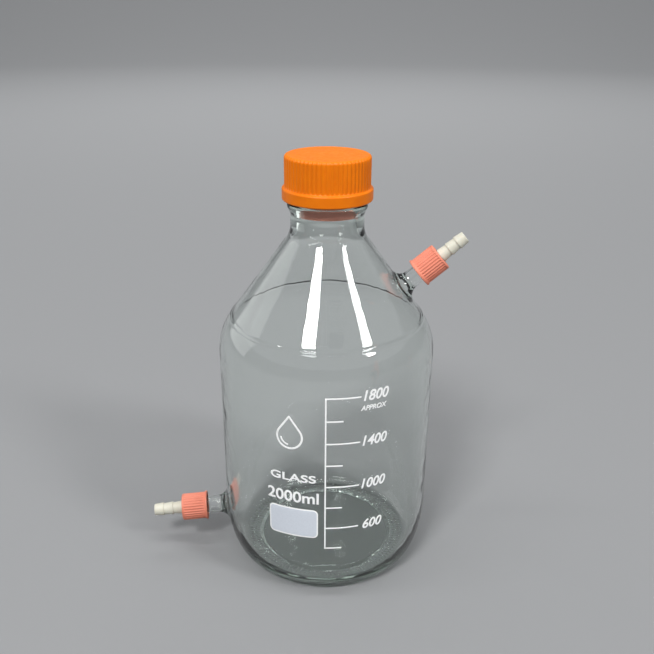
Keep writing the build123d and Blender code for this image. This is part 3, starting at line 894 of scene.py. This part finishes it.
port_grip, port_flange = 0.00885, 0.0095
port_flange_height = 0.0014
port_cap_bore, port_cap_hole = 0.0073, 0.0046
port_ribs, port_rib_depth = 30, 0.00045
port_cap_thread = {"pitch": 0.0025, "turns": 2.5, "half_width": 0.00065, "relief": 0.0009}
port_cap_thread_start = port_thread_start + port_thread["pitch"] / 2


def port_cap_swell(foot):
    """Ribs and thread of the port cap whose open end lies at foot along its port's axis."""

    def swell(turn, radius, distance):
        groove = smooth(0.5 - 0.62 * np.cos(port_ribs * turn))
        height = distance - foot
        along = smooth((height - port_flange_height - 0.0002) / 0.0006)
        along = along * smooth((port_cap_length - 0.0009 - height) / 0.0008)
        on_grip = smooth((radius - port_grip + 0.0006) / 0.0004) * (radius < port_flange - 0.0003)
        thread = helix_ridge(turn, distance, foot + port_cap_thread_start, **port_cap_thread)
        in_bore = (np.abs(radius - port_cap_bore) < 0.0001) * (height < port_ceiling - 0.001)
        return -port_rib_depth * groove * along * on_grip - thread * in_bore

    return swell


salmon, salmon_shade = (0.69, 0.232, 0.155), (0.63, 0.198, 0.128)
salmon_plastic = moulded_plastic("salmon_cap_plastic", salmon, salmon_shade, 0.42, 0.06)
for port in port_windows:
    axis, foot = port_axis(port)
    top = foot + port_cap_length
    corners = [
        (port_cap_bore, foot, 0.0003),
        (port_flange, foot, 0.0003),
        (port_flange, foot + port_flange_height, 0.0004),
        (port_grip, foot + port_flange_height, 0.0003),
        (port_grip, top, 0.0009),
        (port_cap_hole, top, 0.0003),
        (port_cap_hole, foot + port_ceiling, 0.0001),
        (port_cap_bore, foot + port_ceiling, 0.0003),
    ]
    outline = rounded(corners, 0.00035)
    count = port_ribs * 10
    port_cap = turned_ring(f"{port}_ribbed_cap", axis, outline, count, salmon_plastic, port_cap_swell(foot))
    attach(port_cap, f"{port}_cap")
    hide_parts(f"{port}_port_cap")

# ---------------------------------------------------------------------------------------
# Studio: a plain grey floor that rises at its edge into a backdrop, softboxes on both sides of
# the scale, a long strip overhead, and a camera that looks down on the scale side.
# ---------------------------------------------------------------------------------------

floor_reach, backdrop_curve = 4.0, 3.0
stage_line = chain(
    line((0.002, 0), (floor_reach, 0), 40),
    arc((floor_reach, backdrop_curve), (backdrop_curve, backdrop_curve), -90, -8, 24),
)
stage_turn = 2 * pi * np.arange(128) / 128
stage_points = about(upright, stage_line[::-1, :1], stage_turn, stage_line[::-1, 1:])
stage_grid = numbered(stage_points)
stage_faces = [ring_faces(stage_grid), fan_faces(stage_grid.size, stage_grid[-1], True)]
paper, nodes, links, shader, place = new_material("grey_paper")
shader.inputs["Base Color"].default_value = (0.215, 0.218, 0.222, 1)
shader.inputs["Roughness"].default_value = 0.75
bumped(nodes, links, shader, [(noise(nodes, links, place, 700, 3), 0.05)], 0.0002)
stage_points = np.vstack([stage_points.reshape(-1, 3), [[0, 0, 0]]])
floor = mesh_piece("studio_floor", stage_points, stage_faces, paper)


def softbox(name, centre, target, size, power):
    """A rectangular softbox of (width, height) that faces a target."""
    lamp = bpy.data.lights.new(name, "AREA")
    lamp.shape = "RECTANGLE"
    lamp.size, lamp.size_y = size
    lamp.energy = power
    holder = bpy.data.objects.new(name, lamp)
    holder.location = centre
    aim = np.array(target) - np.array(centre)
    level = np.hypot(aim[0], aim[1])
    holder.rotation_euler = (pi / 2 + np.arctan2(aim[2], level), 0, np.arctan2(-aim[0], aim[1]))
    bpy.context.scene.collection.objects.link(holder)


middle = (0, 0, 0.17)
softbox("key_softbox", (-0.71, -1.54, 2.08), middle, (0.58, 0.46), 54)
softbox("right_softbox", (1.60, -1.10, 1.85), middle, (0.40, 0.66), 30)
softbox("overhead_strip", (0.0, -0.25, 2.7), middle, (3.6, 0.16), 30)
softbox("left_softbox", (-2.4, 1.0, 1.0), middle, (2.0, 1.6), 9)
softbox("backdrop_softbox", (0.0, 1.9, 2.9), (0, 5.0, 0.4), (3.0, 0.8), 150)

room = bpy.data.worlds.new("studio_room")
room.use_nodes = True
room.node_tree.nodes["Background"].inputs["Color"].default_value = (0.80, 0.82, 0.85, 1)
room.node_tree.nodes["Background"].inputs["Strength"].default_value = 0.50
bpy.context.scene.world = room
bpy.context.scene.view_settings.view_transform = "Standard"

camera_distance, camera_height = 0.4522, 0.3523
camera_pitch, camera_roll = radians(23.22), radians(0.45)
lens = bpy.data.cameras.new("camera")
lens.lens, lens.sensor_width = 42.69, 36.0
lens.clip_start = 0.01
camera = bpy.data.objects.new("camera", lens)
camera.location = (0.0003, -camera_distance, camera_height)
camera.rotation_mode = "ZYX"
camera.rotation_euler = (pi / 2 - camera_pitch, 0, camera_roll)
bpy.context.scene.collection.objects.link(camera)
bpy.context.scene.camera = camera
